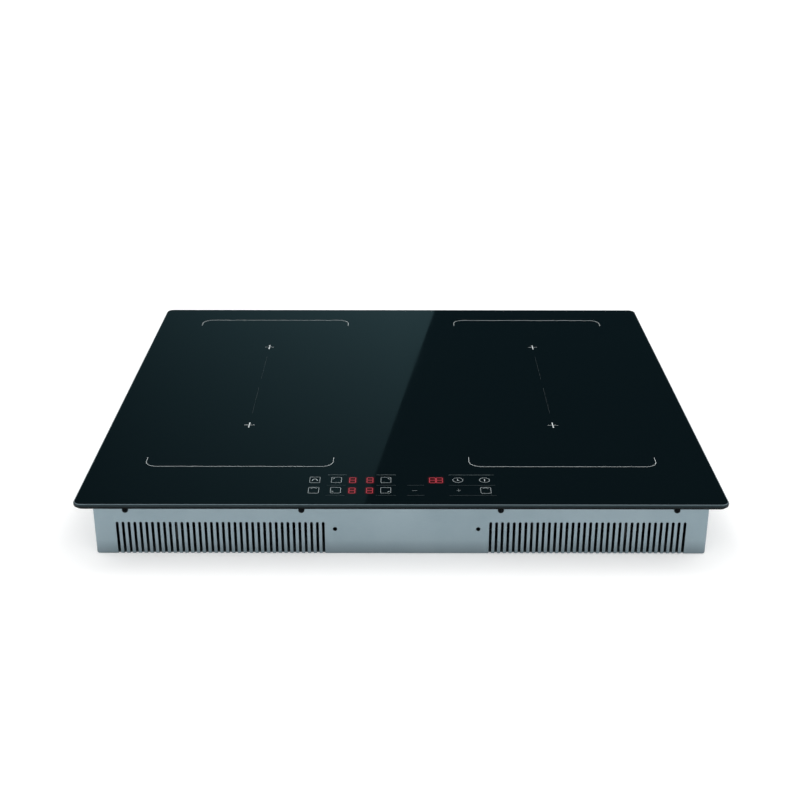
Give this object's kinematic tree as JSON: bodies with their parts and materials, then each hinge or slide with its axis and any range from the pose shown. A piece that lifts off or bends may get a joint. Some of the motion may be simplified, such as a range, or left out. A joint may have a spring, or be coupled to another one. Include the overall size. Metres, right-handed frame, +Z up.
{
  "type": "induction cooktop",
  "caption": "Built-in induction cooktop: black glass top with ground edges on a shallow slotted sheet-steel casing, with coils, cooling blowers, touch controls and a hinged mains cover.",
  "frame": {"origin": "middle of the casing's underside", "axes": "+X right as the cook sees it, +Y to the rear, +Z up; the vents and controls face -Y"},
  "size_m": [0.59, 0.52, 0.0585],
  "materials": {
    "black_glass": "black glass-ceramic, polished, opaque, with a ground edge",
    "black_foam": "closed-cell black foam",
    "adhesive": "cured black silicone",
    "casing_steel": "blue-grey coated sheet steel, satin",
    "zinc_steel": "zinc-coated steel",
    "black_screw": "blackened steel",
    "litz_wire": "enamelled litz wire, copper coloured",
    "white_plastic": "heat-resistant off-white moulding",
    "ferrite": "sintered ferrite",
    "felt": "mineral fibre felt",
    "silicone": "silicone sleeve",
    "aluminium_sheet": "mill finish aluminium",
    "spring_steel": "spring steel",
    "black_plastic": "black moulded plastic",
    "grey_plastic": "dark grey moulded plastic",
    "board_green": "green solder mask on glass-fibre board",
    "component_black": "black epoxy component bodies",
    "component_blue": "blue film and can capacitors",
    "cable_grey": "grey flat cable",
    "clamp_brass": "plated brass",
    "black_rubber": "black rubber"
  },
  "bodies": {
    "hob": {"adhesive_bead": "adhesive", "air_duct_left": "black_plastic", "air_duct_right": "black_plastic", "board_carrier_left": "black_plastic", "board_carrier_right": "black_plastic", "board_screws": "zinc_steel", "cable_grommet": "black_rubber", "capacitors_left": "component_blue", "capacitors_right": "component_blue", "casing_screws": "black_screw", "casing_tray": "casing_steel", "coil_former_left_front": "white_plastic", "coil_former_left_rear": "white_plastic", "coil_former_right_front": "white_plastic", "coil_former_right_rear": "white_plastic", "coil_plate_left": "aluminium_sheet", "coil_plate_right": "aluminium_sheet", "coil_winding_left_front": "litz_wire", "coil_winding_left_rear": "litz_wire", "coil_winding_right_front": "litz_wire", "coil_winding_right_rear": "litz_wire", "control_board": "board_green", "control_cable": "cable_grey", "control_holder": "white_plastic", "display_modules": "component_black", "fan_cover_left": "black_plastic", "fan_cover_right": "black_plastic", "fan_housing_left": "black_plastic", "fan_housing_right": "black_plastic", "ferrite_bars_left": "ferrite", "ferrite_bars_right": "ferrite", "filter_board": "board_green", "filter_capacitors": "component_blue", "filter_carrier": "black_plastic", "filter_choke": "component_black", "foam_seal": "black_foam", "glass_frame": "zinc_steel", "glass_panel": "black_glass", "heatsink_left": "aluminium_sheet", "heatsink_right": "aluminium_sheet", "insulation_felt_left_front": "felt", "insulation_felt_left_rear": "felt", "insulation_felt_right_front": "felt", "insulation_felt_right_rear": "felt", "plate_springs_left": "spring_steel", "plate_springs_right": "spring_steel", "power_board_left": "board_green", "power_board_right": "board_green", "power_transistors_left": "component_black", "power_transistors_right": "component_black", "spring_posts_left": "black_plastic", "spring_posts_right": "black_plastic", "temperature_sensors": "silicone", "terminal_block": "white_plastic", "terminal_box": "grey_plastic", "terminal_screws": "clamp_brass", "touch_springs": "spring_steel"},
    "fan_left": {"fan_impeller_left": "black_plastic"},
    "fan_right": {"fan_impeller_right": "black_plastic"},
    "mains_cover": {"terminal_cover": "grey_plastic"}
  },
  "joints": [
    {"name": "fan_left_spin", "type": "hinge", "parent": "hob", "child": "fan_left", "pos_m": [-0.1642, 0.149, 0.02], "axis": [0, 0, 1], "continuous": true},
    {"name": "fan_right_spin", "type": "hinge", "parent": "hob", "child": "fan_right", "pos_m": [0.1642, 0.149, 0.02], "axis": [0, 0, 1], "continuous": true},
    {"name": "mains_cover_hinge", "type": "hinge", "parent": "hob", "child": "mains_cover", "pos_m": [-0.017, 0.2433, 0.0116], "axis": [-1, 0, 0], "range_deg": [0, 95]}
  ]
}
